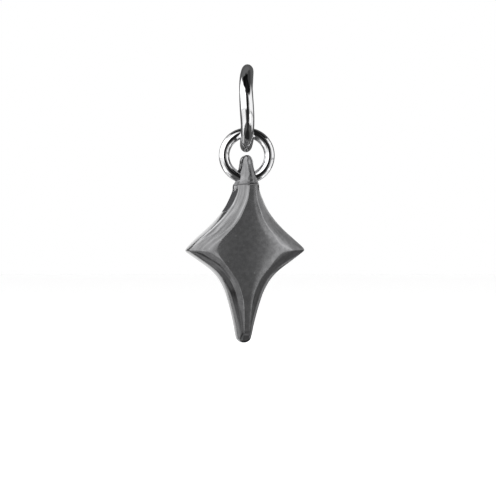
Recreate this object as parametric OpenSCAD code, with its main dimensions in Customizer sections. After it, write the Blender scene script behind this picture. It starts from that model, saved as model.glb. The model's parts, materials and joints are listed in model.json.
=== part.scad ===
// Star charm: a puffed four-pointed star whose neck hangs on a jump ring,
// and the jump ring hangs on a round bail. Z is up and the star's front faces -Y.
// The origin is the bail's inner top, where a chain or a cord would carry the charm.

/* [Bail] */
// Outer diameter of the bail, a plain ring of round wire
bail_d = 9.46; // [8.5:0.02:12]
// Thickness of the bail's wire
bail_wire = 1.46; // [1.2:0.02:1.6]

/* [Jump ring] */
// Outer diameter of the jump ring
ring_d = 6; // [5.8:0.1:7]
// Thickness of the jump ring's wire
ring_wire = 1.13; // [0.9:0.01:1.15]
// Play between two links where one hangs on the other
link_gap = 0.05; // [0.03:0.01:0.08]

/* [Star] */
// Width of the star from side point to side point
star_w = 12.5; // [11:0.1:14]
// Height of the upper arm, from the side points up to the seam
arm_h = 7.1; // [6:0.1:9]
// Height of the neck above the seam
neck_h = 3.15; // [3:0.05:3.3]
// Depth of the lower arm, from the side points down to the tip
leg_h = 9.95; // [8:0.05:13]
// Thickness of the star's side wall
wall_t = 2.8; // [2.4:0.1:3.2]
// Height of the table's edge above the wall's edge, in the middle of the star
relief = 0.8; // [0.5:0.05:1.1]
// Further rise of the table's middle above its edge
crown = 0.2; // [0.1:0.05:0.3]
// Rounding where two sides of the outline meet in a side point
point_r = 0.12; // [0.08:0.01:0.2]
// How far the tables' middle line bends to the right at the seam
table_side = 0.38; // [0:0.02:0.4]
// Turn of the star about the vertical on its jump ring, in degrees, as it hangs
star_turn = 12; // [0:1:12]
// Lean of the star on its jump ring, in degrees, as it hangs
star_lean = 1; // [0:0.5:1]
// How far to the right along the jump ring's wire the star hangs
star_side = -0.1; // [-0.1:0.02:0]

/* [Neck] */
// Width of the seam's groove around the neck
seam_w = 0.22; // [0.1:0.02:0.3]
// Depth of the seam's groove
seam_depth = 0.06; // [0.03:0.01:0.1]
// Radius of the cross hole at its narrowest
hole_r = 0.85; // [0.85:0.01:0.88]
// Radius of the curve by which the hole widens
hole_flare = 1.35; // [1.35:0.01:1.4]
// Radius of the hole at its mouths
hole_mouth = 1.36; // [1.32:0.01:1.36]

/* [Hidden] */
// Smoothness of the round wires
$fn = 96;

// Bail: radius of the wire's centre line, and height of its middle
bail_r = (bail_d - bail_wire) / 2;
bail_z = bail_wire / 2 - bail_r;

// Jump ring: radius of the wire's centre line, and height of its middle below the bail
ring_r = (ring_d - ring_wire) / 2;
ring_z = bail_z - bail_r + bail_wire / 2 + link_gap + ring_wire / 2 - ring_r;

// Cross hole: it hangs a little low on the ring's wire, with the same play above the wire
hole_z = ring_z - ring_r - (hole_r - ring_wire / 2 - link_gap);
// Height of the hole above the seam
hole_up = 0.41;
// How far the hole's cutter reaches, as a share of the half width at the seam
hole_over = 1.5;
// Height of the seam and of the star's side points
seam_z = hole_z - hole_up;
point_z = seam_z - arm_h;

// Half thickness in the star's middle, and the share of it that the arms' ends keep
mid_t = wall_t / 2 + relief + crown;
end_keep = 0.8;
// Half widths of outline and table at the seam, as shares of half the star's width
seam_outline = 0.184;
seam_table = 0.055;

// Columns of the outline tables: level as a share of the arm, half width of the outline and
// half width of the table as shares of half the star's width
LEVEL = 0;
OUTLINE = 1;
TABLE = 2;
arm_rows = [
    [0, 1, 0.555], [0.08, 0.903, 0.520], [0.18, 0.795, 0.445], [0.30, 0.624, 0.330],
    [0.455, 0.464, 0.212], [0.61, 0.344, 0.140], [0.76, 0.260, 0.085], [0.90, 0.198, 0.060],
    [1, seam_outline, seam_table]
];
leg_rows = [
    [0, 1, 0.555], [0.05, 0.880, 0.508], [0.11, 0.745, 0.440], [0.16, 0.633, 0.380],
    [0.215, 0.528, 0.315], [0.27, 0.447, 0.252], [0.325, 0.385, 0.196], [0.43, 0.299, 0.125],
    [0.54, 0.240, 0.080], [0.65, 0.191, 0.066], [0.80, 0.134, 0.058], [0.92, 0.100, 0.052],
    [1, 0.088, 0.050]
];
// Columns of the neck's table: level as a share of the neck, then half widths of outline and
// table and half thicknesses of wall and middle, as shares of those at the seam
WALL = 3;
MIDDLE = 4;
neck_rows = [
    [0, 1, 1, 1, 1], [0.14, 0.911, 0.970, 0.820, 0.970], [0.30, 0.786, 0.940, 0.614, 0.906],
    [0.48, 0.679, 0.900, 0.486, 0.833], [0.67, 0.600, 0.850, 0.400, 0.729],
    [0.83, 0.565, 0.800, 0.340, 0.610], [1, 0.550, 0.750, 0.290, 0.530]
];

// Length over which the neck's end is rounded off, and the leg's end in width and in thickness
neck_round = 0.75;
leg_round = 0.62;
leg_round_t = 1.3;

// Levels: sections in the upper arm, the lower arm, the neck and each rounded end
arm_steps = 19;
leg_steps = 24;
neck_steps = 8;
end_steps = 6;
// How strongly the sections crowd towards the side points, 1 being not at all
crowding = 1.5;

// Section: segments in a quarter's wall, bevel and table
wall_seg = 2;
bevel_seg = 4;
table_seg = 4;
// How far the wall bulges and the bevel swells past a straight line
wall_bulge = 0.10;
bevel_swell = 0.11;

// Smooth curve through one column of a table, at level v
function slope(rows, col, i) =
    let (a = max(i - 1, 0), b = min(i + 1, len(rows) - 1))
    (rows[b][col] - rows[a][col]) / (rows[b][LEVEL] - rows[a][LEVEL]);

function row_at(rows, v, i = 0) =
    i >= len(rows) - 2 || v < rows[i + 1][LEVEL] ? i : row_at(rows, v, i + 1);

function curve(rows, col, v) =
    let (
        i = row_at(rows, v),
        span = rows[i + 1][LEVEL] - rows[i][LEVEL],
        t = (v - rows[i][LEVEL]) / span
    )
    rows[i][col] * (2 * pow(t, 3) - 3 * pow(t, 2) + 1)
    + slope(rows, col, i) * span * (pow(t, 3) - 2 * pow(t, 2) + t)
    + rows[i + 1][col] * (3 * pow(t, 2) - 2 * pow(t, 3))
    + slope(rows, col, i + 1) * span * (pow(t, 3) - pow(t, 2));

// Distance from the side points' level, softened so that each point is rounded
function soften(h) = sqrt(h * h + point_r * point_r) - point_r;

// Share of a full section that is left at a distance from a rounded end
function end_share(from_end, length) =
    from_end >= length ? 1 : sqrt(1 - pow(1 - from_end / length, 2));

// Half thickness in the middle of an arm, at a share of its length
function arm_thick(share) = mid_t * (1 - (1 - end_keep) * share * share);

// Section of an arm: level, outline, table, wall and middle, all in millimetres
function arm_section(rows, height, z) =
    let (share = soften(abs(z)) / soften(height))
    [
        z,
        curve(rows, OUTLINE, share) * star_w / 2,
        curve(rows, TABLE, share) * star_w / 2,
        wall_t / 2,
        arm_thick(share)
    ];

// The section scaled about its middle in width and in thickness, for the rounded ends
function scaled(s, k, k_t) =
    [s[LEVEL], s[OUTLINE] * k, s[TABLE] * k, s[WALL] * k_t, s[MIDDLE] * k_t];

// The section with its surface set in by a depth
function inset(s, depth) =
    [s[LEVEL], s[OUTLINE] - depth, s[TABLE] - depth / 2, s[WALL] - depth / 2, s[MIDDLE] - depth];

// Section of the neck, at a height above the seam
function neck_section(up) =
    let (
        seam = arm_section(arm_rows, arm_h, arm_h),
        share = up / neck_h,
        k = end_share(neck_h - up, neck_round),
        s = [for (col = [OUTLINE:MIDDLE]) seam[col] * curve(neck_rows, col, share)]
    )
    scaled([arm_h + up, each s], k, k);

// Section of the lower arm, at a height above its tip
function leg_section(z) =
    scaled(
        arm_section(leg_rows, leg_h, z),
        end_share(z + leg_h, leg_round), end_share(z + leg_h, leg_round_t)
    );

// Levels of each stretch, from the bottom up; steps narrow towards a rounded end
leg_levels = [
    for (i = [1:end_steps]) -leg_h + leg_round * (1 - cos(90 * i / end_steps)),
    for (i = [1:leg_steps - 1]) -(leg_h - leg_round) * pow(1 - i / leg_steps, crowding)
];
arm_levels = [
    for (i = [0:arm_steps - 1]) (arm_h - seam_w / 2) * pow(i / (arm_steps - 1), crowding)
];
neck_levels = [
    for (i = [0:neck_steps - 1]) seam_w / 2 + (neck_h - neck_round - seam_w / 2) * i / neck_steps,
    for (i = [0:end_steps - 1]) neck_h - neck_round + neck_round * sin(90 * i / end_steps)
];

sections = [
    for (z = leg_levels) leg_section(z),
    for (z = arm_levels) arm_section(arm_rows, arm_h, z),
    inset(neck_section(0), seam_depth),
    for (up = neck_levels) neck_section(up)
];

// How far the tables' middle line stands to the right at a level: not at all in the lower arm,
// more and more up to the seam, and less again up the neck
function side(z) =
    z <= 0 ? 0
    : z <= arm_h ? table_side * sin(90 * z / arm_h)
    : table_side * (1 - (z - arm_h) / neck_h);

// Quarter of a section, from the middle of the wall over the bevel to the middle of the table,
// each point with its share in the tables' sideways place
function quarter(s) =
    let (edge = s[MIDDLE] - crown * pow(2 * s[TABLE] / star_w, 2) / pow(arm_rows[0][TABLE], 2))
    [
        for (i = [0:wall_seg - 1])
            let (t = i / wall_seg)
            [s[OUTLINE] + wall_bulge * s[WALL] * (1 - t * t), s[WALL] * t, 0],
        for (i = [0:bevel_seg - 1])
            let (t = i / bevel_seg, swell = bevel_swell * 4 * t * (1 - t))
            [
                s[OUTLINE] + (s[TABLE] - s[OUTLINE]) * (t - swell / 2),
                s[WALL] + (edge - s[WALL]) * (t + swell),
                t
            ],
        for (i = [0:table_seg])
            let (t = i / table_seg)
            [s[TABLE] * (1 - t), edge + (s[MIDDLE] - edge) * (1 - pow(1 - t, 2)), 1]
    ];

// Whole section as a loop of points, counterclockwise seen from above
function loop(s) =
    let (q = quarter(s), n = len(q) - 1, dx = side(s[LEVEL]))
    [
        for (i = [0:n]) [q[i].x + dx * q[i].z, q[i].y, s[LEVEL]],
        for (i = [1:n]) let (p = q[n - i]) [-p.x + dx * p.z, p.y, s[LEVEL]],
        for (i = [1:n]) [-q[i].x + dx * q[i].z, -q[i].y, s[LEVEL]],
        for (i = [1:n - 1]) let (p = q[n - i]) [p.x + dx * p.z, -p.y, s[LEVEL]]
    ];

// Closed solid through all the sections
module loft(list) {
    n = len(loop(list[0]));
    rings = len(list);
    polyhedron(
        points = [for (s = list) each loop(s)],
        faces = [
            [for (i = [0:n - 1]) i],
            for (r = [0:rings - 2], i = [0:n - 1])
                let (j = (i + 1) % n) [r * n + i, (r + 1) * n + i, (r + 1) * n + j, r * n + j],
            [for (i = [0:n - 1]) rings * n - 1 - i]
        ]
    );
}

// Ring of round wire, lying across the Z axis
module wire_ring(r, wire) {
    rotate_extrude() translate([r, 0]) circle(d = wire);
}

// Hole along X that narrows to hole_r in its middle and widens to hole_mouth at its ends
module cross_hole() {
    reach = hole_over * seam_outline * star_w / 2;
    rotate([0, 90, 0]) rotate_extrude() difference() {
        translate([0, -reach]) square([hole_mouth, 2 * reach]);
        translate([hole_r + hole_flare, 0]) circle(r = hole_flare);
    }
}

module bail() {
    color("whitesmoke") translate([0, 0, bail_z]) rotate([0, 90, 0])
        wire_ring(bail_r, bail_wire);
}

module jump_ring() {
    color("whitesmoke") translate([0, 0, ring_z]) rotate([90, 0, 0])
        wire_ring(ring_r, ring_wire);
}

module star() {
    color("dimgray") translate([star_side, 0, hole_z])
        rotate([0, star_lean, star_turn]) difference() {
            translate([0, 0, point_z - hole_z]) loft(sections);
            cross_hole();
        }
}

bail();
jump_ring();
star();
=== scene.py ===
"""Star charm: a puffed, dark-plated star that hangs from a bright jump ring on a bright round bail.

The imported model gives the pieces' places and the rings' sizes, and the star's sizes follow the
part's source. This script adds the finishes, finer meshes of the same forms, a white studio, a pale
floor and the camera. Lengths named _mm are in millimetres, and every mesh is in metres.
"""

import json
import logging
import math
from dataclasses import dataclass
from enum import Enum, IntEnum
from typing import Any

import bpy
import numpy as np
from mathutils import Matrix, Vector


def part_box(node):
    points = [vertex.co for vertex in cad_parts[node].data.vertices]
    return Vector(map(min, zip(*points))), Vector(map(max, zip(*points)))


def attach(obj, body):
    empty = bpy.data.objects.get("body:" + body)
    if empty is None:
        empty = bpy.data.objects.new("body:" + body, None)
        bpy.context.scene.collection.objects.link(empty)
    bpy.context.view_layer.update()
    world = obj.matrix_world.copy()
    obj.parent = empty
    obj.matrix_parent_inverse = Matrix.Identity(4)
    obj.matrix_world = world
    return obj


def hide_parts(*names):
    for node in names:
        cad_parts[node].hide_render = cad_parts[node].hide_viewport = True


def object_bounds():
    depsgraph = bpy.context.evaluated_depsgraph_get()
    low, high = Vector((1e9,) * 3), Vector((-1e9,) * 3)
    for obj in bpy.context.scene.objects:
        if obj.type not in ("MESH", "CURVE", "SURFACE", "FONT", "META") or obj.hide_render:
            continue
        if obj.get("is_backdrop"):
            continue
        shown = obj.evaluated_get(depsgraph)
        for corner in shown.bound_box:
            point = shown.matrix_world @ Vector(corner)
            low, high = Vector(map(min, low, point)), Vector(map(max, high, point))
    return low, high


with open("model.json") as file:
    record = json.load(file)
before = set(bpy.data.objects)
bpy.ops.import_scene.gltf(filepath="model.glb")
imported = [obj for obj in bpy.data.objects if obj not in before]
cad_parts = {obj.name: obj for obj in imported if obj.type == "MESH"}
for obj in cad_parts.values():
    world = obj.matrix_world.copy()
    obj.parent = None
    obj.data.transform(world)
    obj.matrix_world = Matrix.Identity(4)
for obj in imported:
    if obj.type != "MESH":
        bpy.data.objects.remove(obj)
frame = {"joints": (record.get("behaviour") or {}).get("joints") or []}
CAD_BOX = [list(corner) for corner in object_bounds()]

MM = 0.001
log = logging.getLogger("star_charm")

Tree = bpy.types.NodeTree
Socket = bpy.types.NodeSocket
Span = tuple[float, float]


class Column(IntEnum):
    """Columns of the star's section tables."""

    LEVEL = 0
    OUTLINE = 1
    TABLE = 2
    WALL = 3
    MIDDLE = 4


class Axis(IntEnum):
    """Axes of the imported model's frame, as columns of a point."""

    X = 0
    Y = 1
    Z = 2


class Side(IntEnum):
    """Sides of the star as they are seen from the front, as signs."""

    LEFT = -1
    RIGHT = 1


class Arm(IntEnum):
    """Parts of the star above and below its side points, as signs."""

    LEG = -1
    UPPER = 1


class Slot(Enum):
    """Material slots of the record."""

    BRIGHT = "bright_plate"
    DARK = "dark_plate"


def linear(colour: str) -> tuple[float, float, float, float]:
    """Turn an sRGB hex colour into linear light.

    Args:
        colour: The colour as "#rrggbb".

    Returns:
        Red, green and blue in linear light, and an alpha of 1.
    """
    shares = [int(colour[i : i + 2], 16) / 255 for i in (1, 3, 5)]
    red, green, blue = (
        share / 12.92 if share <= 0.04045 else ((share + 0.055) / 1.055) ** 2.4 for share in shares
    )
    return (red, green, blue, 1.0)


def pattern_scale(size_mm: float) -> float:
    """Give the texture scale at which one feature is as wide as a real size.

    Args:
        size_mm: Width of one feature.

    Returns:
        The scale for a texture that is laid out in metres.
    """
    return 1 / (size_mm * MM)


def add_node(tree: Tree, kind: str, inputs: dict[Any, Any], **settings: Any) -> bpy.types.Node:
    """Add a node with its settings, its values and its links.

    Args:
        tree: Node tree that gets the node.
        kind: Blender's name of the node's type.
        inputs: Socket name or number to a value, or to an output socket to link from.
        **settings: Properties of the node, such as an operation.

    Returns:
        The new node.
    """
    node = tree.nodes.new(kind)
    for name, value in settings.items():
        setattr(node, name, value)
    for socket, value in inputs.items():
        if isinstance(value, Socket):
            tree.links.new(value, node.inputs[socket])
        else:
            node.inputs[socket].default_value = value
    return node


def new_material(name: str) -> tuple[bpy.types.Material, Tree]:
    """Make an empty node material.

    Args:
        name: Name of the material.

    Returns:
        The material and its empty node tree.
    """
    material = bpy.data.materials.new(name)
    material.use_nodes = True
    material.node_tree.nodes.clear()
    return material, material.node_tree


def new_object(name: str, points: np.ndarray, faces: list[tuple[int, ...]]) -> bpy.types.Object:
    """Make a smooth mesh object from points in metres.

    Args:
        name: Name of the object.
        points: Array of points, one row each.
        faces: Point numbers of each face.

    Returns:
        The new object, linked to the scene.
    """
    mesh = bpy.data.meshes.new(name)
    mesh.from_pydata(points.tolist(), [], faces)
    mesh.shade_smooth()
    piece = bpy.data.objects.new(name, mesh)
    bpy.context.scene.collection.objects.link(piece)
    return piece


def skin(rows: int, columns: int, joined: bool = False) -> list[tuple[int, ...]]:
    """Lay faces over rows of points, each of which is closed round the piece.

    Args:
        rows: Number of rows.
        columns: Number of points in a row.
        joined: Whether the last row meets the first one, as in a ring. Otherwise each end has a cap.

    Returns:
        Point numbers of each face.
    """
    faces: list[tuple[int, ...]] = [
        (r * columns + c, r * columns + (c + 1) % columns,
         (r + 1) % rows * columns + (c + 1) % columns, (r + 1) % rows * columns + c)
        for r in range(rows if joined else rows - 1)
        for c in range(columns)
    ]
    if not joined:
        faces.append(tuple(reversed(range(columns))))
        faces.append(tuple(range((rows - 1) * columns, rows * columns)))
    return faces


@dataclass(frozen=True)
class BrightPlate:
    """Bright plate over drawn wire, polished in a tumbler.

    It mirrors the studio almost cleanly, in white bands and black lines. Fine drawing marks and
    a little haze keep the bands from being perfectly even. The marks are drawn coarser than real
    ones, so that they show.
    """

    colour: str = "#f4f4f5"
    roughness: float = 0.045
    haze: float = 0.05
    haze_mm: float = 0.9
    haze_span: Span = (0.35, 0.75)
    mark_mm: float = 0.16
    mark_depth_mm: float = 0.0002

    def material(self) -> bpy.types.Material:
        """Build the material.

        Returns:
            The finished material.
        """
        material, tree = new_material("bright_plated_wire")
        place = add_node(tree, "ShaderNodeTexCoord", {}).outputs["Object"]
        haze, marks = (
            add_node(
                tree,
                "ShaderNodeTexNoise",
                {"Vector": place, "Scale": pattern_scale(size_mm), "Detail": layers},
            ).outputs["Fac"]
            for size_mm, layers in ((self.haze_mm, 3.0), (self.mark_mm, 2.0))
        )
        roughness = add_node(
            tree,
            "ShaderNodeMapRange",
            {"Value": haze, "From Min": self.haze_span[0], "From Max": self.haze_span[1],
             "To Min": self.roughness, "To Max": self.roughness + self.haze},
        )
        bump = add_node(
            tree,
            "ShaderNodeBump",
            {"Height": marks, "Strength": 1.0, "Distance": self.mark_depth_mm * MM},
        )
        surface = add_node(
            tree,
            "ShaderNodeBsdfPrincipled",
            {"Base Color": linear(self.colour), "Metallic": 1.0,
             "Roughness": roughness.outputs["Result"], "Normal": bump.outputs["Normal"]},
        )
        add_node(tree, "ShaderNodeOutputMaterial", {"Surface": surface.outputs["BSDF"]})
        return material


@dataclass(frozen=True)
class DarkPlate:
    """Dark grey plate over a cast and polished star.

    It is a soft mirror: broad faces show as even greys, and rounded ridges as fine light lines.
    The plate lies on a faintly grainy casting, with small bright specks where the grain stands up.
    Painted highlights lie along the polishing lines, painted shade along the seam and in a band just
    above it, and a dull dark painted shade on part of the left wall below the seam.
    The grain is drawn coarser than a real one, so that it shows.
    """

    worn_colour: str = "#979798"
    roughness: float = 0.15
    cloud: float = 0.05
    cloud_mm: float = 1.3
    cloud_span: Span = (0.3, 0.7)
    grain_mm: float = 0.22
    grain_depth_mm: float = 0.0011
    speck_mm: float = 1.0
    speck_share: float = 0.12
    speck_core: float = 0.4
    # Painted shade: along the seam's groove over a half width, and in a band above the seam up to a height
    seam_shade_colour: str = "#4c4c4d"
    seam_half_mm: float = 0.12
    above_seam_shade_colour: str = "#6c6c6d"
    above_seam_shade_mm: float = 0.62
    mottle: tuple[str, str] = ("#757576", "#828283")
    mottle_mm: float = 0.42
    mottle_span: Span = (0.3, 0.7)
    streak_colours: tuple[str, str] = ("#616162", "#828283")
    streak_mm: float = 4.0
    streak_span: Span = (0.35, 0.65)
    streaks_across: float = 7.0
    # Painted highlight along the crests of the polishing lines
    polish_line_highlight_colour: str = "#9c9c9d"
    # Painted shade on the left wall below the seam: its colour, its depths below the seam, the softness of
    # its edges, and the facing that it covers
    left_wall_shade_colour: str = "#29292a"
    left_wall_shade_mm: Span = (0.50, 2.97)
    left_wall_shade_soft_mm: float = 0.04
    left_wall_shade_facing: Span = (-0.60, -0.74)

    def material(self, seam_mm: float, tilt: float) -> bpy.types.Material:
        """Build the material.

        Args:
            seam_mm: Height of the seam, whose shallow groove gets painted shade.
            tilt: How much the seam rises to the right.

        Returns:
            The finished material.
        """
        material, tree = new_material("dark_plated_casting")
        place = add_node(tree, "ShaderNodeTexCoord", {}).outputs["Object"]
        cloud, mottle, grain = (
            add_node(
                tree,
                "ShaderNodeTexNoise",
                {"Vector": place, "Scale": pattern_scale(size_mm), "Detail": layers},
            ).outputs["Fac"]
            for size_mm, layers in ((self.cloud_mm, 4.0), (self.mottle_mm, 3.0), (self.grain_mm, 2.0))
        )
        roughness = add_node(
            tree,
            "ShaderNodeMapRange",
            {"Value": cloud, "From Min": self.cloud_span[0], "From Max": self.cloud_span[1],
             "To Min": self.roughness, "To Max": self.roughness + self.cloud},
        )
        spots = add_node(
            tree, "ShaderNodeTexVoronoi", {"Vector": place, "Scale": pattern_scale(self.speck_mm)}
        )
        speck = add_node(
            tree,
            "ShaderNodeMapRange",
            {"Value": spots.outputs["Distance"], "From Min": self.speck_share * self.speck_core,
             "From Max": self.speck_share, "To Min": 1.0, "To Max": 0.0},
        ).outputs["Result"]
        patches = add_node(
            tree,
            "ShaderNodeMapRange",
            {"Value": mottle, "From Min": self.mottle_span[0], "From Max": self.mottle_span[1]},
            interpolation_type="SMOOTHSTEP",
        ).outputs["Result"]
        left_wall_shade = self.left_wall_shade(tree, place, seam_mm)
        colour: Any = linear(self.mottle[0])
        for share, tint in (
            (patches, linear(self.mottle[1])),
            *self.streaks(tree, place),
            (speck, linear(self.worn_colour)),
            # Painted shade along the seam, and in a band just above it
            *self.bands(tree, place, seam_mm, tilt),
            # Painted shade on the left wall below the seam
            (left_wall_shade, linear(self.left_wall_shade_colour)),
        ):
            colour = add_node(
                tree, "ShaderNodeMix", {"Factor": share, 6: colour, 7: tint}, data_type="RGBA"
            ).outputs[2]
        # The painted wall shade is not metal either, so it stays dull and dark
        metal = add_node(tree, "ShaderNodeMath", {0: 1.0, 1: left_wall_shade}, operation="SUBTRACT")
        height = add_node(tree, "ShaderNodeMath", {0: grain, 1: speck}, operation="ADD")
        bump = add_node(
            tree,
            "ShaderNodeBump",
            {"Height": height.outputs["Value"], "Strength": 1.0, "Distance": self.grain_depth_mm * MM},
        )
        surface = add_node(
            tree,
            "ShaderNodeBsdfPrincipled",
            {"Base Color": colour, "Metallic": metal.outputs["Value"], "Specular IOR Level": 0.0,
             "Roughness": roughness.outputs["Result"], "Normal": bump.outputs["Normal"]},
        )
        add_node(tree, "ShaderNodeOutputMaterial", {"Surface": surface.outputs["BSDF"]})
        return material

    def streaks(self, tree: Tree, place: Socket) -> list[tuple[Socket, Any]]:
        """Give the wheel's long streaks, and the painted highlight along its polishing lines, which lie on
        the bevels.

        Args:
            tree: The material's node tree.
            place: Socket with the place on the star.

        Returns:
            Each one's share and colour.
        """
        over, streaked, polished = (
            add_node(tree, "ShaderNodeAttribute", {}, attribute_name=mark).outputs["Fac"]
            for mark in ("over_bevel", "streaked", "polished")
        )
        across = add_node(
            tree, "ShaderNodeMath", {0: over, 1: self.streaks_across}, operation="MULTIPLY"
        ).outputs["Value"]
        along = add_node(
            tree,
            "ShaderNodeVectorMath",
            {0: place, "Scale": pattern_scale(self.streak_mm)},
            operation="SCALE",
        ).outputs["Vector"]
        way = add_node(tree, "ShaderNodeSeparateXYZ", {"Vector": along}).outputs
        grid = add_node(tree, "ShaderNodeCombineXYZ", {"X": across, "Y": way["X"], "Z": way["Z"]})
        streak = add_node(
            tree, "ShaderNodeTexNoise", {"Vector": grid.outputs["Vector"], "Scale": 1.0, "Detail": 3.0}
        )
        share = add_node(
            tree,
            "ShaderNodeMapRange",
            {"Value": streak.outputs["Fac"],
             "From Min": self.streak_span[0], "From Max": self.streak_span[1]},
            interpolation_type="SMOOTHSTEP",
        ).outputs["Result"]
        dull, clear = (linear(shade) for shade in self.streak_colours)
        tint = add_node(tree, "ShaderNodeMix", {"Factor": share, 6: dull, 7: clear}, data_type="RGBA")
        # The polishing lines' crests get a painted highlight
        return [(streaked, tint.outputs[2]), (polished, linear(self.polish_line_highlight_colour))]

    def bands(self, tree: Tree, place: Socket, seam_mm: float, tilt: float) -> list[tuple[Socket, Any]]:
        """Give the painted shade along the seam's shallow groove, and a band of painted shade just above it.

        Args:
            tree: The material's node tree.
            place: Socket with the place on the star.
            seam_mm: Height of the seam.
            tilt: How much the seam rises to the right.

        Returns:
            Each one's share and colour.
        """
        axes = add_node(tree, "ShaderNodeSeparateXYZ", {"Vector": place}).outputs
        seam = add_node(
            tree, "ShaderNodeMath", {0: axes["X"], 1: tilt, 2: seam_mm * MM}, operation="MULTIPLY_ADD"
        ).outputs["Value"]
        above = add_node(
            tree, "ShaderNodeMath", {0: axes["Z"], 1: seam}, operation="SUBTRACT"
        ).outputs["Value"]
        away = add_node(tree, "ShaderNodeMath", {0: above}, operation="ABSOLUTE").outputs["Value"]
        upper = add_node(tree, "ShaderNodeMath", {0: above, 1: 0.0}, operation="GREATER_THAN")
        above_seam_shade, groove = (
            add_node(
                tree,
                "ShaderNodeMapRange",
                {"Value": value, "From Min": full_mm * MM, "From Max": end_mm * MM,
                 "To Min": 1.0, "To Max": 0.0},
                interpolation_type="SMOOTHSTEP",
            ).outputs["Result"]
            for value, full_mm, end_mm in (
                (above, self.seam_half_mm, self.above_seam_shade_mm),
                (away, 0.0, self.seam_half_mm),
            )
        )
        above_seam_shade = add_node(
            tree, "ShaderNodeMath", {0: above_seam_shade, 1: upper.outputs["Value"]}, operation="MULTIPLY"
        ).outputs["Value"]
        return [(above_seam_shade, linear(self.above_seam_shade_colour)), (groove, linear(self.seam_shade_colour))]

    def left_wall_shade(self, tree: Tree, place: Socket, seam_mm: float) -> Socket:
        """Give the painted shade on a band of the left wall below the seam, dull and dark.

        Args:
            tree: The material's node tree.
            place: Socket with the place on the star.
            seam_mm: Height of the seam.

        Returns:
            Socket with the painted shade's share.
        """
        facing = add_node(tree, "ShaderNodeTexCoord", {}).outputs["Normal"]
        aside = add_node(tree, "ShaderNodeSeparateXYZ", {"Vector": facing}).outputs["X"]
        height = add_node(tree, "ShaderNodeSeparateXYZ", {"Vector": place}).outputs["Z"]
        high, low = ((seam_mm - depth) * MM for depth in self.left_wall_shade_mm)
        soft = self.left_wall_shade_soft_mm * MM
        share: Any = 1.0
        for value, start, end in (
            (aside, *self.left_wall_shade_facing),
            (height, low - soft, low + soft),
            (height, high + soft, high - soft),
        ):
            within = add_node(
                tree,
                "ShaderNodeMapRange",
                {"Value": value, "From Min": start, "From Max": end},
                interpolation_type="SMOOTHSTEP",
            ).outputs["Result"]
            share = add_node(
                tree, "ShaderNodeMath", {0: share, 1: within}, operation="MULTIPLY"
            ).outputs["Value"]
        return share


@dataclass(frozen=True)
class FloorPaint:
    """Matt white paint on a studio floor: even and pale, with soft shadows."""

    colour: str = "#f6f6f6"
    glow: float = 0.78
    mottle_mm: float = 14.0
    roughness: Span = (0.8, 0.95)

    def material(self) -> bpy.types.Material:
        """Build the material.

        Returns:
            The finished material.
        """
        material, tree = new_material("matt_white_floor_paint")
        place = add_node(tree, "ShaderNodeTexCoord", {}).outputs["Object"]
        mottle = add_node(
            tree, "ShaderNodeTexNoise", {"Vector": place, "Scale": pattern_scale(self.mottle_mm)}
        )
        roughness = add_node(
            tree,
            "ShaderNodeMapRange",
            {"Value": mottle.outputs["Fac"], "To Min": self.roughness[0], "To Max": self.roughness[1]},
        )
        surface = add_node(
            tree,
            "ShaderNodeBsdfPrincipled",
            {"Base Color": linear(self.colour), "Roughness": roughness.outputs["Result"],
             "Emission Color": linear(self.colour), "Emission Strength": self.glow},
        )
        add_node(tree, "ShaderNodeOutputMaterial", {"Surface": surface.outputs["BSDF"]})
        return material


@dataclass(frozen=True)
class WireRing:
    """A plain closed ring of round wire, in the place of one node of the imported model."""

    node: str
    body: str
    across: Axis
    around_steps: int = 288
    wire_steps: int = 72
    unevenness: float = 0.006
    waves: tuple[int, ...] = (5, 11, 23)
    # How much narrower the wire is at top and bottom, and how far the ring is warped
    thinned: float = 0.0
    thinned_power: int = 4
    warp_mm: float = 0.0
    warp_waves: int = 3
    warp_turn: float = 114.0

    def points(self) -> np.ndarray:
        """Work out the ring's surface from the box of its node.

        The wire is drawn and bent by hand, so its thickness varies by less than a hundredth. The
        tool has also narrowed it at the ring's top and bottom, and left the ring a little warped.

        Returns:
            Points as an array of around_steps by wire_steps by 3, in metres.
        """
        low, high = (np.array(corner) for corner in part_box(self.node))
        wire = (high - low)[self.across] / 2
        middle = (low + high) / 2
        radius = (high - low)[Axis.Z] / 2 - wire
        turn = np.linspace(0, 2 * math.pi, self.around_steps, endpoint=False)[:, None]
        roll = np.linspace(0, 2 * math.pi, self.wire_steps, endpoint=False)[None, :]
        ripple = sum(np.sin(wave * turn + wave * wave + roll) for wave in self.waves) / len(self.waves)
        thick = wire * (1 - self.unevenness * (1 + ripple) / 2)
        reach = radius + thick * np.cos(roll)
        first, second = (axis for axis in Axis if axis != self.across)
        points = np.empty((self.around_steps, self.wire_steps, 3))
        narrow = 1 - self.thinned * np.sin(turn) ** self.thinned_power
        warp = self.warp_mm * MM * np.cos(self.warp_waves * turn + math.radians(self.warp_turn))
        points[..., self.across] = thick * narrow * np.sin(roll) + warp
        points[..., first] = reach * np.cos(turn)
        points[..., second] = reach * np.sin(turn)
        return points + middle

    def build(self, finish: bpy.types.Material) -> bpy.types.Object:
        """Build the ring and put it in its node's place.

        Args:
            finish: Material of the ring.

        Returns:
            The ring.
        """
        faces = skin(self.around_steps, self.wire_steps, joined=True)
        if self.across == Axis.Y:
            # Seen along Y the same steps go round the other way, so the faces are turned over
            faces = [face[::-1] for face in faces]
        piece = new_object(f"{self.node}_wire", self.points().reshape(-1, 3), faces)
        piece.data.materials.append(finish)
        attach(piece, self.body)
        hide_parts(self.node)
        return piece


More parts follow.
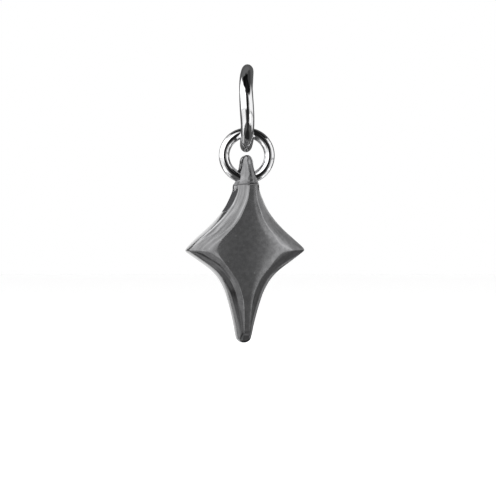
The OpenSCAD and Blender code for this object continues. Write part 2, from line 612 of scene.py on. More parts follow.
# Outlines above and below the side points: level as a share of the arm or leg, then half widths of
# outline and table as shares of half the star's width. The leg's rows are those of the part's
# source. The arm's outline differs from its by about 0.06 mm, as the photograph shows it.
ARM_ROWS = np.array([
    [0, 1, 0.555], [0.08, 0.908, 0.520], [0.18, 0.786, 0.445], [0.30, 0.634, 0.330],
    [0.455, 0.469, 0.212], [0.61, 0.344, 0.140], [0.76, 0.260, 0.085], [0.90, 0.198, 0.060],
    [1, 0.184, 0.055],
])
LEG_ROWS = np.array([
    [0, 1, 0.555], [0.05, 0.880, 0.508], [0.11, 0.745, 0.440], [0.16, 0.633, 0.380],
    [0.215, 0.528, 0.315], [0.27, 0.447, 0.252], [0.325, 0.385, 0.196], [0.43, 0.299, 0.125],
    [0.54, 0.240, 0.080], [0.65, 0.191, 0.066], [0.80, 0.134, 0.058], [0.92, 0.100, 0.052],
    [1, 0.088, 0.050],
])
# The neck's outline, as in the part's source: level as a share of the neck, then half widths of
# outline and table and half thicknesses of wall and middle, as shares of those at the seam
NECK_ROWS = np.array([
    [0, 1, 1, 1, 1], [0.14, 0.911, 0.970, 0.820, 0.970], [0.30, 0.786, 0.940, 0.614, 0.906],
    [0.48, 0.679, 0.900, 0.486, 0.833], [0.67, 0.600, 0.850, 0.400, 0.729],
    [0.83, 0.565, 0.800, 0.340, 0.610], [1, 0.550, 0.750, 0.290, 0.530],
])


def curve(rows: np.ndarray, column: Column, level: float) -> float:
    """Read a smooth curve through one column of a section table.

    Args:
        rows: The table, whose first column is the level.
        column: The column to read.
        level: Level as a share of the arm.

    Returns:
        The column's value at that level.
    """
    levels, values = rows[:, Column.LEVEL], rows[:, column]
    last = len(rows) - 1
    i = int(np.clip(np.searchsorted(levels, level, side="right") - 1, 0, last - 1))
    slopes = []
    for k in (i, i + 1):
        before, after = max(k - 1, 0), min(k + 1, last)
        slopes.append((values[after] - values[before]) / (levels[after] - levels[before]))
    span = levels[i + 1] - levels[i]
    t = (level - levels[i]) / span
    return float(
        values[i] * (2 * t**3 - 3 * t**2 + 1)
        + slopes[0] * span * (t**3 - 2 * t**2 + t)
        + values[i + 1] * (3 * t**2 - 2 * t**3)
        + slopes[1] * span * (t**3 - t**2)
    )


@dataclass(frozen=True)
class PolishLine:
    """A faint crest that the polishing wheel left along one bevel of the star, with a painted highlight along
    it.

    It has its place at the side point and another towards the tip, each a share of the way from
    the bevel's outer ridge to its inner one, and drifts from one to the other.
    """

    arm: Arm
    side: Side
    at_point: float
    at_tip: float
    width: float = 0.06
    height_mm: float = 0.010
    drift: float = 0.4

    def share(self, reach: float) -> float:
        """Give the line's place on the bevel.

        Args:
            reach: Distance from the side points as a share of the arm.

        Returns:
            Share of the way from the bevel's outer ridge to its inner one.
        """
        way = min(1.0, reach / self.drift)
        return self.at_point + (self.at_tip - self.at_point) * (3 - 2 * way) * way**2


@dataclass(frozen=True)
class Star:
    """The puffed star and its neck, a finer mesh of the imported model's own form.

    Its ridges are rounded as polishing leaves them, and its seam is a smooth groove.
    """

    width_mm: float = 12.5
    arm_mm: float = 7.1
    neck_mm: float = 3.15
    leg_mm: float = 9.95
    wall_mm: float = 2.8
    relief_mm: float = 0.8
    crown_mm: float = 0.2
    point_mm: float = 0.19
    table_side_mm: float = 0.38
    # The cross hole: its height above the seam, its half width in the middle, the curve by which it
    # widens, its half width at the mouths, and how far its cutter reaches to each side
    hole_up_mm: float = 0.41
    hole_mm: float = 0.85
    flare_mm: float = 1.35
    mouth_mm: float = 1.36
    hole_reach_mm: float = 2.4
    seam_width_mm: float = 0.22
    seam_depth_mm: float = 0.03
    seam_tilt: float = 0.09
    seam_tilt_reach_mm: float = 1.0
    # Share of the middle's thickness that is left at the ends of arm and leg
    end_keep: float = 0.8
    neck_round_mm: float = 0.75
    neck_round_thick_mm: float = 0.22
    leg_round_mm: float = 0.52
    leg_round_thick_mm: float = 1.3
    wall_bulge: float = 0.10
    # The left wall leans in: how far, round which height, and over how much of it
    wall_lean_mm: float = 0.16
    lean_middle_mm: float = 5.2
    lean_reach_mm: float = 1.3
    bevel_swell: float = 0.11
    # Length over which polishing rounds the star's ridges and the neck's
    ridge_mm: float = 0.055
    neck_ridge_mm: float = 0.40
    # The wheel's marks: share of a bevel over which they fade at a ridge, and two strengths
    mark_fade: float = 0.08
    faint_streaks: float = 0.30
    plain_streaks: float = 0.60
    # The tables' right margin, rolled over by the wheel: where it begins in arm and leg as a share of
    # the table's half width, how much nearer the middle where the table is narrow, the nearest
    # place, its slope at the table's edge, and how late it turns down
    margin_from: Span = (0.785, 0.48)
    margin_narrow_mm: Span = (0.38, 0.0)
    margin_least_from: float = 0.15
    margin_slope: float = 0.095
    margin_power: float = 1.4
    # How far the right and the left point are lifted, and over which height above and below them
    point_lift_mm: Span = (0.15, -0.13)
    point_lift_reach_mm: Span = (1.1, 2.0)
    # A small section is rounded by no more than its girth over this number
    least_turns: float = 24.0
    sharp_angle: float = 38.0
    polish_lines: tuple[PolishLine, ...] = (
        PolishLine(Arm.UPPER, Side.LEFT, at_point=0.50, at_tip=0.86),
        PolishLine(Arm.UPPER, Side.LEFT, at_point=0.75, at_tip=1.30),
        PolishLine(Arm.UPPER, Side.LEFT, at_point=0.07, at_tip=0.07, width=0.05, height_mm=0.008),
        PolishLine(Arm.LEG, Side.LEFT, at_point=0.50, at_tip=0.50, height_mm=0.005),
        PolishLine(Arm.LEG, Side.RIGHT, at_point=0.25, at_tip=0.25, height_mm=0.004),
    )
    arm_steps: int = 120
    leg_steps: int = 150
    neck_steps: int = 44
    seam_steps: int = 14
    end_steps: int = 16
    quarter_steps: tuple[int, int, int] = (8, 32, 18)
    hole_steps: tuple[int, int] = (48, 96)
    round_steps: int = 2048
    crowding: float = 1.4

    @property
    def middle_mm(self) -> float:
        """Half thickness in the star's middle."""
        return self.wall_mm / 2 + self.relief_mm + self.crown_mm

    def soften(self, height: float) -> float:
        """Distance from the side points' level, softened so that each point is rounded."""
        return math.hypot(height, self.point_mm) - self.point_mm

    def arm_section(self, rows: np.ndarray, height: float, level: float) -> np.ndarray:
        """Work out the section of an arm.

        Args:
            rows: The arm's table.
            height: Length of the arm.
            level: Height above the side points.

        Returns:
            Level, outline, table, wall and middle, in millimetres.
        """
        share = self.soften(level) / self.soften(height)
        half = self.width_mm / 2
        return np.array([
            level,
            curve(rows, Column.OUTLINE, share) * half,
            curve(rows, Column.TABLE, share) * half,
            self.wall_mm / 2,
            self.middle_mm * (1 - (1 - self.end_keep) * share**2),
        ])

    def section(self, level: float) -> np.ndarray:
        """Work out the section of the star or its neck.

        Args:
            level: Height above the side points.

        Returns:
            Level, outline, table, wall and middle, in millimetres.
        """
        if level > self.arm_mm:
            return self.neck_section(level - self.arm_mm)
        if level >= 0:
            return self.arm_section(ARM_ROWS, self.arm_mm, level)
        section = self.arm_section(LEG_ROWS, self.leg_mm, level)
        across = self.end_share(level + self.leg_mm, self.leg_round_mm)
        through = self.end_share(level + self.leg_mm, self.leg_round_thick_mm)
        return section * np.array([1, across, across, through, through])

    def neck_section(self, up: float) -> np.ndarray:
        """Work out the section of the neck.

        Args:
            up: Height above the seam.

        Returns:
            Level, outline, table, wall and middle, in millimetres.
        """
        seam = self.arm_section(ARM_ROWS, self.arm_mm, self.arm_mm)
        across = self.end_share(self.neck_mm - up, self.neck_round_mm)
        through = self.end_share(self.neck_mm - up, self.neck_round_thick_mm)
        columns = (Column.OUTLINE, Column.TABLE, Column.WALL, Column.MIDDLE)
        sizes = [seam[column] * curve(NECK_ROWS, column, up / self.neck_mm) for column in columns]
        return np.array([self.arm_mm + up, *sizes]) * np.array([1, across, across, through, through])

    @staticmethod
    def end_share(from_end: float, length: float) -> float:
        """Share of a full section that is left at a distance from a rounded end."""
        return 1.0 if from_end >= length else math.sqrt(max(0.0, 1 - (1 - from_end / length) ** 2))

    def levels(self) -> np.ndarray:
        """List the levels of the sections, from the leg's tip up to the neck's top.

        They lie closest at both ends and at the side points.

        Returns:
            Heights above the side points, in millimetres.
        """
        quarter = np.linspace(0, math.pi / 2, self.end_steps + 1)[1:]
        band = self.seam_width_mm
        leg = np.linspace(1, 0, self.leg_steps, endpoint=False)[1:] ** self.crowding
        arm = np.linspace(0, 1, self.arm_steps, endpoint=False) ** self.crowding
        neck_top = self.arm_mm + self.neck_mm - self.neck_round_mm
        return np.concatenate([
            -self.leg_mm + self.leg_round_mm * (1 - np.cos(quarter)),
            -(self.leg_mm - self.leg_round_mm) * leg,
            (self.arm_mm - band) * arm,
            self.arm_mm + np.linspace(-band, band, self.seam_steps, endpoint=False),
            np.linspace(self.arm_mm + band, neck_top, self.neck_steps, endpoint=False),
            neck_top + self.neck_round_mm * np.sin(quarter[:-1]),
        ])

    @property
    def shares(self) -> np.ndarray:
        """Share of each point of a quarter in the tables' sideways place."""
        wall_steps, bevel_steps, table_steps = self.quarter_steps
        return np.concatenate([np.zeros(wall_steps), self.bevel_shares, np.ones(table_steps + 1)])

    @property
    def bevel_shares(self) -> np.ndarray:
        """Shares of the way over the bevel, closest together at its two ridges."""
        return (1 - np.cos(np.linspace(0, math.pi, self.quarter_steps[1], endpoint=False))) / 2

    def quarter(self, section: np.ndarray, side: Side) -> np.ndarray:
        """Work out a quarter of a section, from the wall's middle over the bevel to the table's.

        Args:
            section: Level, outline, table, wall and middle.
            side: The quarter's side. To the right, the wheel has rolled the table's margin over,
                and to the left, the wall leans in.

        Returns:
            Points across and out, closest together at the ridges.
        """
        _, outline, table, wall, middle = section
        width = (2 * table / self.width_mm) ** 2 / ARM_ROWS[0, Column.TABLE] ** 2
        top_edge = middle - self.crown_mm * width * min(1.0, middle / self.middle_mm)
        part = 0 if section[Column.LEVEL] > 0 else 1
        narrow = self.margin_narrow_mm[part] / max(table, self.margin_narrow_mm[part])
        start = max(self.margin_least_from, self.margin_from[part] - narrow)
        roll = self.margin_slope * (1 - width) * table * (1 - start) / self.margin_power
        rolled = roll if side == Side.RIGHT else 0.0
        edge = top_edge - rolled
        wall_steps, _, table_steps = self.quarter_steps
        off = (section[Column.LEVEL] - self.lean_middle_mm) / self.lean_reach_mm
        lean = self.wall_lean_mm * math.exp(-(off**2)) if side == Side.LEFT else 0.0
        t = np.sin(np.linspace(0, math.pi / 2, wall_steps, endpoint=False))
        sides = np.stack([outline + self.wall_bulge * wall * (1 - t**2) - lean * t**2, wall * t], -1)
        t = self.bevel_shares
        swell = self.bevel_swell * 4 * t * (1 - t)
        outer = outline - lean
        bevel = np.stack([outer + (table - outer) * (t - swell / 2), wall + (edge - wall) * (t + swell)], -1)
        t = 1 - np.cos(np.linspace(0, math.pi / 2, table_steps + 1))
        margin = np.maximum(0, 1 - t - start) / (1 - start)
        over = top_edge + (middle - top_edge) * (1 - (1 - t) ** 2) - rolled * margin**self.margin_power
        return np.concatenate([sides, bevel, np.stack([table * (1 - t), over], -1)])

    def side(self, level: float) -> float:
        """Work out how far the tables' middle line stands to the right.

        Args:
            level: Height above the side points.

        Returns:
            The distance in millimetres.
        """
        if level <= 0:
            return 0.0
        if level <= self.arm_mm:
            return self.table_side_mm * math.sin(math.pi / 2 * level / self.arm_mm)
        return self.table_side_mm * (1 - (level - self.arm_mm) / self.neck_mm)

    def crest(self, level: float, side: Side) -> np.ndarray:
        """Work out how far the polishing lines stand out over a quarter of a section.

        Args:
            level: Height above the side points.
            side: The quarter's side.

        Returns:
            Height of each of the quarter's points above the plain form, in millimetres.
        """
        height = np.zeros(len(self.shares))
        reach = abs(level) / (self.arm_mm if level > 0 else self.leg_mm)
        fade = math.sqrt(max(0.0, math.sin(math.pi * min(1.0, reach))))
        for line in self.polish_lines:
            if line.side == side and line.arm * level > 0:
                away = (self.shares - line.share(reach)) / line.width
                height += fade * line.height_mm * np.exp(-(away**2))
        return height * np.clip((1 - self.shares) / self.mark_fade, 0, 1)

    def softness(self, level: float) -> float:
        """How widely polishing has rounded the ridges at a level, in millimetres.

        The neck was filed round by hand, and the star's own ridges are crisp up to the seam.
        """
        above = (level - self.arm_mm) / self.seam_width_mm
        return self.ridge_mm + (self.neck_ridge_mm - self.ridge_mm) * min(1.0, max(0.0, above))

    def rounded(self, loop: np.ndarray, length: float) -> np.ndarray:
        """Round the ridges of a closed section.

        Args:
            loop: Points of the section, across and out.
            length: Length along the section over which a ridge is rounded.

        Returns:
            The same number of points on the rounded section.
        """
        ring = np.vstack([loop, loop[:1]])
        along = np.concatenate([[0], np.cumsum(np.linalg.norm(np.diff(ring, axis=0), axis=1))])
        count = self.round_steps
        even = np.linspace(0, along[-1], count, endpoint=False)
        waves = 2 * math.pi * np.fft.rfftfreq(count, along[-1] / count)
        blur = np.exp(-((waves * min(length, along[-1] / self.least_turns)) ** 2) / 2)
        result = np.empty_like(loop)
        for axis in range(2):
            spectrum = np.fft.rfft(np.interp(even, along, ring[:, axis]))
            smooth = np.fft.irfft(spectrum * blur, count)
            result[:, axis] = np.interp(along[:-1], np.append(even, along[-1]), np.append(smooth, smooth[0]))
        return result

    def grid(self) -> np.ndarray:
        """Work out every section of the upright star.

        Returns:
            Points as an array of sections by points by 3, in millimetres above the side points.
        """
        sections = []
        for level in self.levels():
            section = self.section(level)
            right, left = (
                self.quarter(section, side) + np.column_stack([0 * self.shares, self.crest(level, side)])
                for side in (Side.RIGHT, Side.LEFT)
            )
            front = np.concatenate([right, left[::-1][1:] * [-1, 1]])
            front[:, 0] += self.side(level) * np.concatenate([self.shares, self.shares[::-1][1:]])
            back = front[::-1][1:-1] * [1, -1]
            loop = self.rounded(np.concatenate([front, back]), self.softness(level))
            groove = self.seam_depth_mm * math.exp(-(((level - self.arm_mm) * 2 / self.seam_width_mm) ** 2))
            loop = loop * (1 - groove / np.abs(loop).max())
            tilt = self.seam_tilt * math.exp(-(((level - self.arm_mm) / self.seam_tilt_reach_mm) ** 2))
            lifts = np.where(loop[:, 0] > 0, *self.point_lift_mm) * (loop[:, 0] * 2 / self.width_mm) ** 2
            lift = lifts * math.exp(-((level / self.point_lift_reach_mm[0 if level > 0 else 1]) ** 2))
            sections.append(np.column_stack([loop[:, 0], -loop[:, 1], level + tilt * loop[:, 0] + lift]))
        return np.array(sections)

    def wheel_marks(self) -> dict[str, np.ndarray]:
        """Tell the material where the polishing wheel has marked the star.

        The wheel's streaks are plain on the upper left bevel and faint on the others.

        Returns:
            For each of the star's points, its share of the way over the bevel, how strongly it is
            streaked, and how far it stands on a polishing line, which sets its painted highlight.
        """
        highest = max(line.height_mm for line in self.polish_lines)
        inside = np.clip(np.minimum(self.shares, 1 - self.shares) / self.mark_fade, 0, 1)
        rows: dict[str, list[np.ndarray]] = {"over_bevel": [], "streaked": [], "polished": []}
        for level in self.levels():
            left = inside * (self.plain_streaks if 0 < level < self.arm_mm else self.faint_streaks)
            for name, sides in (
                ("over_bevel", (self.shares, self.shares)),
                ("streaked", (inside * self.faint_streaks, left)),
                ("polished", [self.crest(level, side) / highest for side in (Side.RIGHT, Side.LEFT)]),
            ):
                front = np.concatenate([sides[0], sides[1][::-1][1:]])
                rows[name].append(np.concatenate([front, front[::-1][1:-1]]))
        return {name: np.array(values) for name, values in rows.items()}

    def cutter(self) -> tuple[np.ndarray, list[tuple[int, ...]]]:
        """Work out the cutter of the cross hole, which widens along a curve to both sides.

        Returns:
            Its points in millimetres about the hole's middle, and its faces.
        """
        steps, sides = self.hole_steps
        along = np.linspace(-self.hole_reach_mm, self.hole_reach_mm, steps)
        curved = self.hole_mm + self.flare_mm - np.sqrt(np.maximum(self.flare_mm**2 - along**2, 0))
        radius = np.minimum(curved, self.mouth_mm)[:, None]
        turn = np.linspace(0, 2 * math.pi, sides, endpoint=False)[None, :]
        points = np.stack([along[:, None] + 0 * turn, radius * np.cos(turn), radius * np.sin(turn)], -1)
        return points.reshape(-1, 3), skin(steps, sides)

    def build(self, finish: bpy.types.Material, hang: dict[str, Any]) -> bpy.types.Object:
        """Build the star and hang it in its place on the jump ring.

        Args:
            finish: Material of the star.
            hang: The joint on which it swings, which gives the hole's middle and its axis.

        Returns:
            The star.
        """
        grid = self.grid() - [0, 0, self.arm_mm + self.hole_up_mm]
        piece = new_object("star_casting", self.hung(grid.reshape(-1, 3), hang), skin(*grid.shape[:2]))
        for name, values in self.wheel_marks().items():
            piece.data.attributes.new(name, "FLOAT", "POINT").data.foreach_set("value", values.ravel())
        points, faces = self.cutter()
        self.drill(piece, new_object("cross_hole", self.hung(points, hang), faces))
        piece.data.materials.clear()
        piece.data.materials.append(finish)
        piece.data.shade_smooth()
        piece.data.set_sharp_from_angle(angle=math.radians(self.sharp_angle))
        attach(piece, "star")
        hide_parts("star")
        return piece

    def hung(self, points: np.ndarray, hang: dict[str, Any]) -> np.ndarray:
        """Turn points about the hole as the star hangs, and move them to the hole's place.

        Args:
            points: Points in millimetres about the hole's middle.
            hang: The joint on which the star swings.

        Returns:
            The points in metres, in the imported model's frame.
        """
        x, y, z = hang["axis"]
        turn, lean = math.atan2(y, x), -math.asin(z)
        about_y = np.array([
            [math.cos(lean), 0, math.sin(lean)], [0, 1, 0], [-math.sin(lean), 0, math.cos(lean)]
        ])
        about_z = np.array([
            [math.cos(turn), -math.sin(turn), 0], [math.sin(turn), math.cos(turn), 0], [0, 0, 1]
        ])
        return points @ (about_z @ about_y).T * MM + np.array(hang["pos_m"])

    @staticmethod
    def drill(piece: bpy.types.Object, cutter: bpy.types.Object) -> None:
        """Cut one closed mesh out of another, and remove the cutter.

        Args:
            piece: The mesh that is cut.
            cutter: The mesh that cuts.
        """
        cut = piece.modifiers.new("cross_hole", "BOOLEAN")
        cut.operation, cut.solver, cut.object = "DIFFERENCE", "EXACT", cutter
        bpy.context.view_layer.update()
        result = bpy.data.meshes.new_from_object(piece.evaluated_get(bpy.context.evaluated_depsgraph_get()))
        piece.modifiers.clear()
        piece.data = result
        bpy.data.objects.remove(cutter)


@dataclass(frozen=True)
class Panel:
    """A soft-edged panel of the studio, seen in the metal from a range of directions.

    Azimuth 0 is the camera's side and grows to the right, and elevation grows upwards.
    """

    name: str
    azimuth: float
    half_width: float
    elevation: float
    half_height: float
    soft: float
    light: float


@dataclass(frozen=True)
class Lamp:
    """A lamp that the picture shows in some pieces alone, as a card close to them would be.

    Azimuth and elevation give its place about the charm's middle, as for a panel. A wide lamp is
    made of parts side by side, so that it keeps to its elevation. A lamp can shine past the
    other pieces, as a card between them would.
    """

    name: str
    azimuth: float
    half_width: float
    elevation: float
    half_height: float
    light: float
    parts: int = 1
    past_others: bool = False
    away_m: float = 0.6

    def build(self, middle: Vector, pieces: list[bpy.types.Object]) -> None:
        """Build the lamp's parts and let them light its pieces alone.

        Args:
            middle: The charm's middle.
            pieces: The pieces that it lights.
        """
        lit = bpy.data.collections.new(f"{self.name}_pieces")
        for piece in pieces:
            lit.objects.link(piece)
        in_way = lit if self.past_others else None
        step = 2 * self.half_width / self.parts
        for k in range(self.parts):
            azimuth = self.azimuth - self.half_width + (k + 0.5) * step
            lamp = self.part(f"{self.name}_{k + 1}", middle, azimuth, step / 2)
            lamp.light_linking.receiver_collection = lit
            lamp.light_linking.blocker_collection = in_way

    def part(self, name: str, middle: Vector, azimuth: float, half_width: float) -> bpy.types.Object:
        """Build one part of the lamp.

        Args:
            name: Name of the part.
            middle: The charm's middle.
            azimuth: Azimuth of the part's middle.
            half_width: Half of the part's extent in azimuth.

        Returns:
            The part.
        """
        turn, rise = math.radians(azimuth), math.radians(self.elevation)
        overhead = abs(self.elevation) == 90.0
        data = bpy.data.lights.new(name, "AREA")
        data.shape = "RECTANGLE"
        data.size = 2 * self.away_m * math.tan(math.radians(half_width)) * (1 if overhead else math.cos(rise))
        data.size_y = 2 * self.away_m * math.tan(math.radians(self.half_height))
        data.energy = self.light * math.pi * data.size * data.size_y
        way = Vector((math.sin(turn) * math.cos(rise), -math.cos(turn) * math.cos(rise), math.sin(rise)))
        lamp = bpy.data.objects.new(name, data)
        lamp.location = middle + way * self.away_m
        lamp.rotation_euler = (-way).to_track_quat("-Z", "Y").to_euler()
        lamp.visible_camera = False
        bpy.context.scene.collection.objects.link(lamp)
        return lamp


@dataclass(frozen=True)
class Studio:
    """White tent round the charm, with the dark gap that the camera looks in through.

    Each panel or lamp is given by its name, its azimuth and half width, its elevation and half
    height, all in degrees, a panel's soft edge, and its light.
    """

    surround: float = 0.12
    backdrop: float = 1.0
    panels: tuple[Panel, ...] = (
        Panel("table_top", 0, 200, -50, 46, 4, 0.09),
        Panel("table_under", 0, 200, -90, 31, 6, 0.02),
        Panel("left_wall", -68, 56, 17, 21, 5, 1.70),
        Panel("right_wall", 82, 31, 12, 17, 5, 0.98),
        Panel("right_shoulder", 41, 11, -4, 14, 4, 0.32),
        Panel("right_shoulder_high", 38, 9, 26, 16, 4, 0.07),
        Panel("behind_left", -165, 34, 0, 60, 6, 0.10),
        Panel("behind_right", 155, 33, 0, 60, 6, 0.10),
        Panel("behind_low", 180, 22, -34, 10, 4, 0.03),
        Panel("zenith", 0, 200, 90, 39, 5, 0.004),
        Panel("beyond_zenith", 190, 60, 58, 18, 6, 0.13),
        Panel("right_top", 74, 42, 50, 18, 5, 0.006),
        Panel("right_top_behind", 112, 34, 50, 18, 5, 0.05),
        Panel("camera_gap", 9, 18, 0, 90, 5, 0.012),
        Panel("camera_gap_top", 22, 24, 53, 15, 4, 0.012),
    )
    wire_lamps: tuple[Lamp, ...] = (
        Lamp("wire_left", -69, 37, -21, 16, 0.9, parts=3),
        Lamp("wire_right", 82, 30, -19, 12, 0.8, parts=2),
    )
    bail_lamps: tuple[Lamp, ...] = (
        Lamp("bail_right", 47, 6, 6, 26, 0.8),
        Lamp("bail_shoulder", 34, 7, 18, 20, 0.22),
        Lamp("bail_left_high", -62, 36, 43, 7, 1.2, parts=2),
        Lamp("bail_low_left", -114, 16, -40, 13, 0.42),
        Lamp("bail_low_right", 46, 16, -26, 13, 0.8),
    )
    jump_ring_lamps: tuple[Lamp, ...] = (
        Lamp("jump_ring_low_right", 100, 44, -40, 14, 0.8, parts=3),
        Lamp("jump_ring_high_right", 86, 32, 34, 6, 0.8, parts=2),
        Lamp("jump_ring_low_left", -104, 42, -38, 12, 0.6, parts=3),
        Lamp("jump_ring_high_left", -72, 50, 44, 8, 0.6, parts=3),
    )
    star_lamps: tuple[Lamp, ...] = (
        Lamp("star_front", 12, 22, 2, 24, 0.30),
        Lamp("star_front_left", -3, 10, 8, 20, 1.2),
        Lamp("star_right_strip", 45, 10, -0.5, 8, 1.3),
        Lamp("star_margin_high", 36, 7, 12.5, 7, 0.45),
        Lamp("star_right_mid", 47, 6, 15, 11, 1.7),
        Lamp("star_top_front", 26, 34, 40, 10, 0.7, parts=2),
        Lamp("star_right_high", 96, 44, 38, 9, 0.75, parts=3),
        Lamp("star_right_behind", 130, 17, 20, 10, 1.0),
        Lamp("star_neck_behind", 154, 12, 16, 12, 1.5, past_others=True),
        Lamp("star_neck_left", -134, 7, 18, 9, 1.9, past_others=True),
        Lamp("star_neck_top", 180, 64, 47, 10, 1.0, parts=4, past_others=True),
        Lamp("star_zenith", 0, 42, 90, 42, 1.2, past_others=True),
        Lamp("star_high_left", -75, 60, 43, 8, 0.95, parts=4),
        Lamp("star_left_line", -85, 20, 36, 10, 0.5),
        Lamp("star_top_left", -95, 36, 60, 9, 1.4, parts=3),
        Lamp("star_low_left", -95, 65, -46, 17, 0.30, parts=4),
        Lamp("star_low_strip", -82, 26, -12, 9, 0.28),
        Lamp("star_low_strip_behind", -127, 19, -11, 9, 0.52),
        Lamp("star_low_end", 20, 30, -44, 24, 0.24, parts=2),
        Lamp("star_low_front", -30, 26, -20, 18, 0.60, parts=2),
        Lamp("star_low_right", 88, 42, -26, 20, 0.20, parts=3),
        Lamp("star_low_behind", 130, 14, -18, 16, 0.5),
        Lamp("star_low_wall", 120, 12, -47, 8, 0.8),
        Lamp("star_behind_high", -170, 11, 16, 16, 1.2),
        Lamp("star_behind_mid", -149, 11, 14, 14, 0.08),
        Lamp("star_behind_low", -166, 16, -12, 12, 1.0),
        Lamp("star_under", 0, 35, -90, 35, 0.20),
    )

    def world(self) -> bpy.types.World:
        """Build the studio's light as a world of panels.

        Returns:
            The world.
        """
        world = bpy.data.worlds.new("studio_tent")
        world.use_nodes = True
        tree = world.node_tree
        tree.nodes.clear()
        way = add_node(tree, "ShaderNodeTexCoord", {}).outputs["Generated"]
        axes = add_node(tree, "ShaderNodeSeparateXYZ", {"Vector": way}).outputs
        towards = add_node(tree, "ShaderNodeMath", {0: axes["Y"], 1: -1.0}, operation="MULTIPLY").outputs[0]
        turn = add_node(tree, "ShaderNodeMath", {0: axes["X"], 1: towards}, operation="ARCTAN2").outputs[0]
        rise = add_node(tree, "ShaderNodeMath", {0: axes["Z"]}, operation="ARCSINE").outputs[0]
        azimuth, elevation = (
            add_node(tree, "ShaderNodeMath", {0: angle}, operation="DEGREES").outputs[0]
            for angle in (turn, rise)
        )
        light: Any = self.surround
        for panel in self.panels:
            across = self.inside(tree, azimuth, panel.azimuth, panel.half_width, panel.soft)
            up = self.inside(tree, elevation, panel.elevation, panel.half_height, panel.soft)
            both = add_node(tree, "ShaderNodeMath", {0: across, 1: up}, operation="MULTIPLY").outputs[0]
            light = add_node(
                tree, "ShaderNodeMix", {"Factor": both, 2: light, 3: panel.light}, label=panel.name
            ).outputs[0]
        white = linear("#ffffff")
        studio = add_node(tree, "ShaderNodeBackground", {"Color": white, "Strength": light})
        backdrop = add_node(tree, "ShaderNodeBackground", {"Color": white, "Strength": self.backdrop})
        seen = add_node(tree, "ShaderNodeLightPath", {}).outputs["Is Camera Ray"]
        shown = add_node(
            tree, "ShaderNodeMixShader",
            {"Fac": seen, 1: studio.outputs["Background"], 2: backdrop.outputs["Background"]},
        )
        add_node(tree, "ShaderNodeOutputWorld", {"Surface": shown.outputs["Shader"]})
        return world

    @staticmethod
    def inside(tree: Tree, angle: Socket, middle: float, half: float, soft: float) -> Socket:
        """Tell how far a direction lies inside a panel, in one of the two angles.

        Args:
            tree: The world's node tree.
            angle: The direction's angle, in degrees.
            middle: Angle of the panel's middle.
            half: Half of the panel's extent.
            soft: Half of the width over which its edge fades.

        Returns:
            A share, 1 inside the panel and 0 outside it.
        """
        away = add_node(tree, "ShaderNodeMath", {0: angle, 1: middle}, operation="SUBTRACT").outputs[0]
        near = add_node(tree, "ShaderNodeMath", {0: away, 1: 180.0, 2: -180.0}, operation="WRAP").outputs[0]
        size = add_node(tree, "ShaderNodeMath", {0: near}, operation="ABSOLUTE").outputs[0]
        share = add_node(
            tree,
            "ShaderNodeMapRange",
            {"Value": size, "From Min": half - soft, "From Max": half + soft, "To Min": 1.0, "To Max": 0.0},
            interpolation_type="SMOOTHSTEP",
        )
        return share.outputs["Result"]

    def build(self, bail: bpy.types.Object, jump_ring: bpy.types.Object, star: bpy.types.Object) -> None:
        """Set the studio's light and the plain way in which the picture shows it.

        Args:
            bail: The bail.
            jump_ring: The jump ring.
            star: The star.
        """
        scene = bpy.context.scene
        scene.world = self.world()
        scene.view_settings.view_transform = "Standard"
        scene.view_settings.look = "None"
        low, high = (Vector(corner) for corner in CAD_BOX)
        for lamps, pieces in (
            (self.wire_lamps, [bail, jump_ring]),
            (self.bail_lamps, [bail]),
            (self.jump_ring_lamps, [jump_ring]),
            (self.star_lamps, [star]),
        ):
            for lamp in lamps:
                lamp.build((low + high) / 2, pieces)


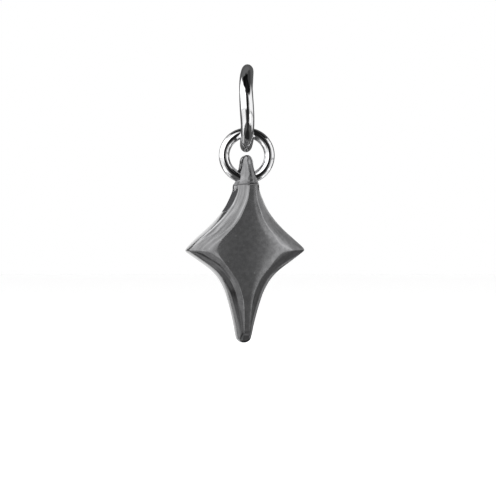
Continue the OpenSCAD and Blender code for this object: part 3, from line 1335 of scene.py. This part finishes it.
@dataclass(frozen=True)
class Floor:
    """Plain pale floor a little under the charm, with the lamp that gives it soft shadows."""

    below_mm: float = 14.0
    size_m: float = 6.0
    lamp_m: tuple[float, float, float] = (-0.16, -0.12, 0.42)
    lamp_size_m: float = 0.30
    lamp_watts: float = 5.5

    def build(self, lowest: float) -> bpy.types.Object:
        """Build the floor and its lamp.

        The floor isn't mirrored in the metal, where the tent's lower panels stand for it.

        Args:
            lowest: Height of the charm's lowest point, in metres.

        Returns:
            The floor.
        """
        half, height = self.size_m / 2, lowest - self.below_mm * MM
        signs = ((-1, -1), (1, -1), (1, 1), (-1, 1))
        corners = np.array([(x * half, y * half, height) for x, y in signs])
        floor = new_object("floor", corners, [(0, 1, 2, 3)])
        floor.data.materials.append(FloorPaint().material())
        floor.visible_glossy = False
        floor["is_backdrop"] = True
        lamp = bpy.data.objects.new("floor_lamp", bpy.data.lights.new("floor_lamp", "AREA"))
        lamp.data.size, lamp.data.energy = self.lamp_size_m, self.lamp_watts
        lamp.location = self.lamp_m
        lamp.rotation_euler = (Vector((0, 0, height)) - lamp.location).to_track_quat("-Z", "Y").to_euler()
        lamp.visible_glossy = False
        bpy.context.scene.collection.objects.link(lamp)
        return floor


@dataclass(frozen=True)
class Camera:
    """Long lens, level with the charm and square to its rings, as in the photograph."""

    aim_mm: Span = (0.13, -18.30)
    frame_mm: float = 53.33
    away_mm: float = 400.0
    sensor_mm: float = 36.0
    seen_m: Span = (0.01, 20.0)

    def build(self) -> bpy.types.Object:
        """Build the camera and make it the scene's.

        Returns:
            The camera.
        """
        data = bpy.data.cameras.new("camera")
        data.sensor_width = self.sensor_mm
        data.lens = self.sensor_mm * self.away_mm / self.frame_mm
        data.clip_start, data.clip_end = self.seen_m
        camera = bpy.data.objects.new("camera", data)
        across, up = self.aim_mm
        camera.location = Vector((across, -self.away_mm, up)) * MM
        camera.rotation_euler = (math.pi / 2, 0, 0)
        bpy.context.scene.collection.objects.link(camera)
        bpy.context.scene.camera = camera
        return camera


def main() -> None:
    """Build the charm and its studio, and report each piece."""
    logging.basicConfig(level=logging.INFO, format="%(name)s: %(message)s")
    joints = {joint["name"]: joint for joint in frame["joints"]}
    Camera().build()
    star, hang = Star(), joints["star_swing"]
    bright = BrightPlate().material()
    dark = DarkPlate().material(hang["pos_m"][2] / MM - star.hole_up_mm, star.seam_tilt)
    pieces = [
        WireRing("bail", "bail", across=Axis.X, thinned=0.13, warp_mm=0.09).build(bright),
        WireRing("jump_ring", "jump_ring", across=Axis.Y).build(bright),
        star.build(dark, hang),
    ]
    Studio().build(*pieces)
    Floor().build(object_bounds()[0][2])
    for piece in pieces:
        points = np.array([vertex.co for vertex in piece.data.vertices])
        size_mm = np.round((points.max(axis=0) - points.min(axis=0)) / MM, 2)
        log.info("%s: %d faces, %s mm", piece.name, len(piece.data.polygons), size_mm)


if __name__ == "__main__":
    main()
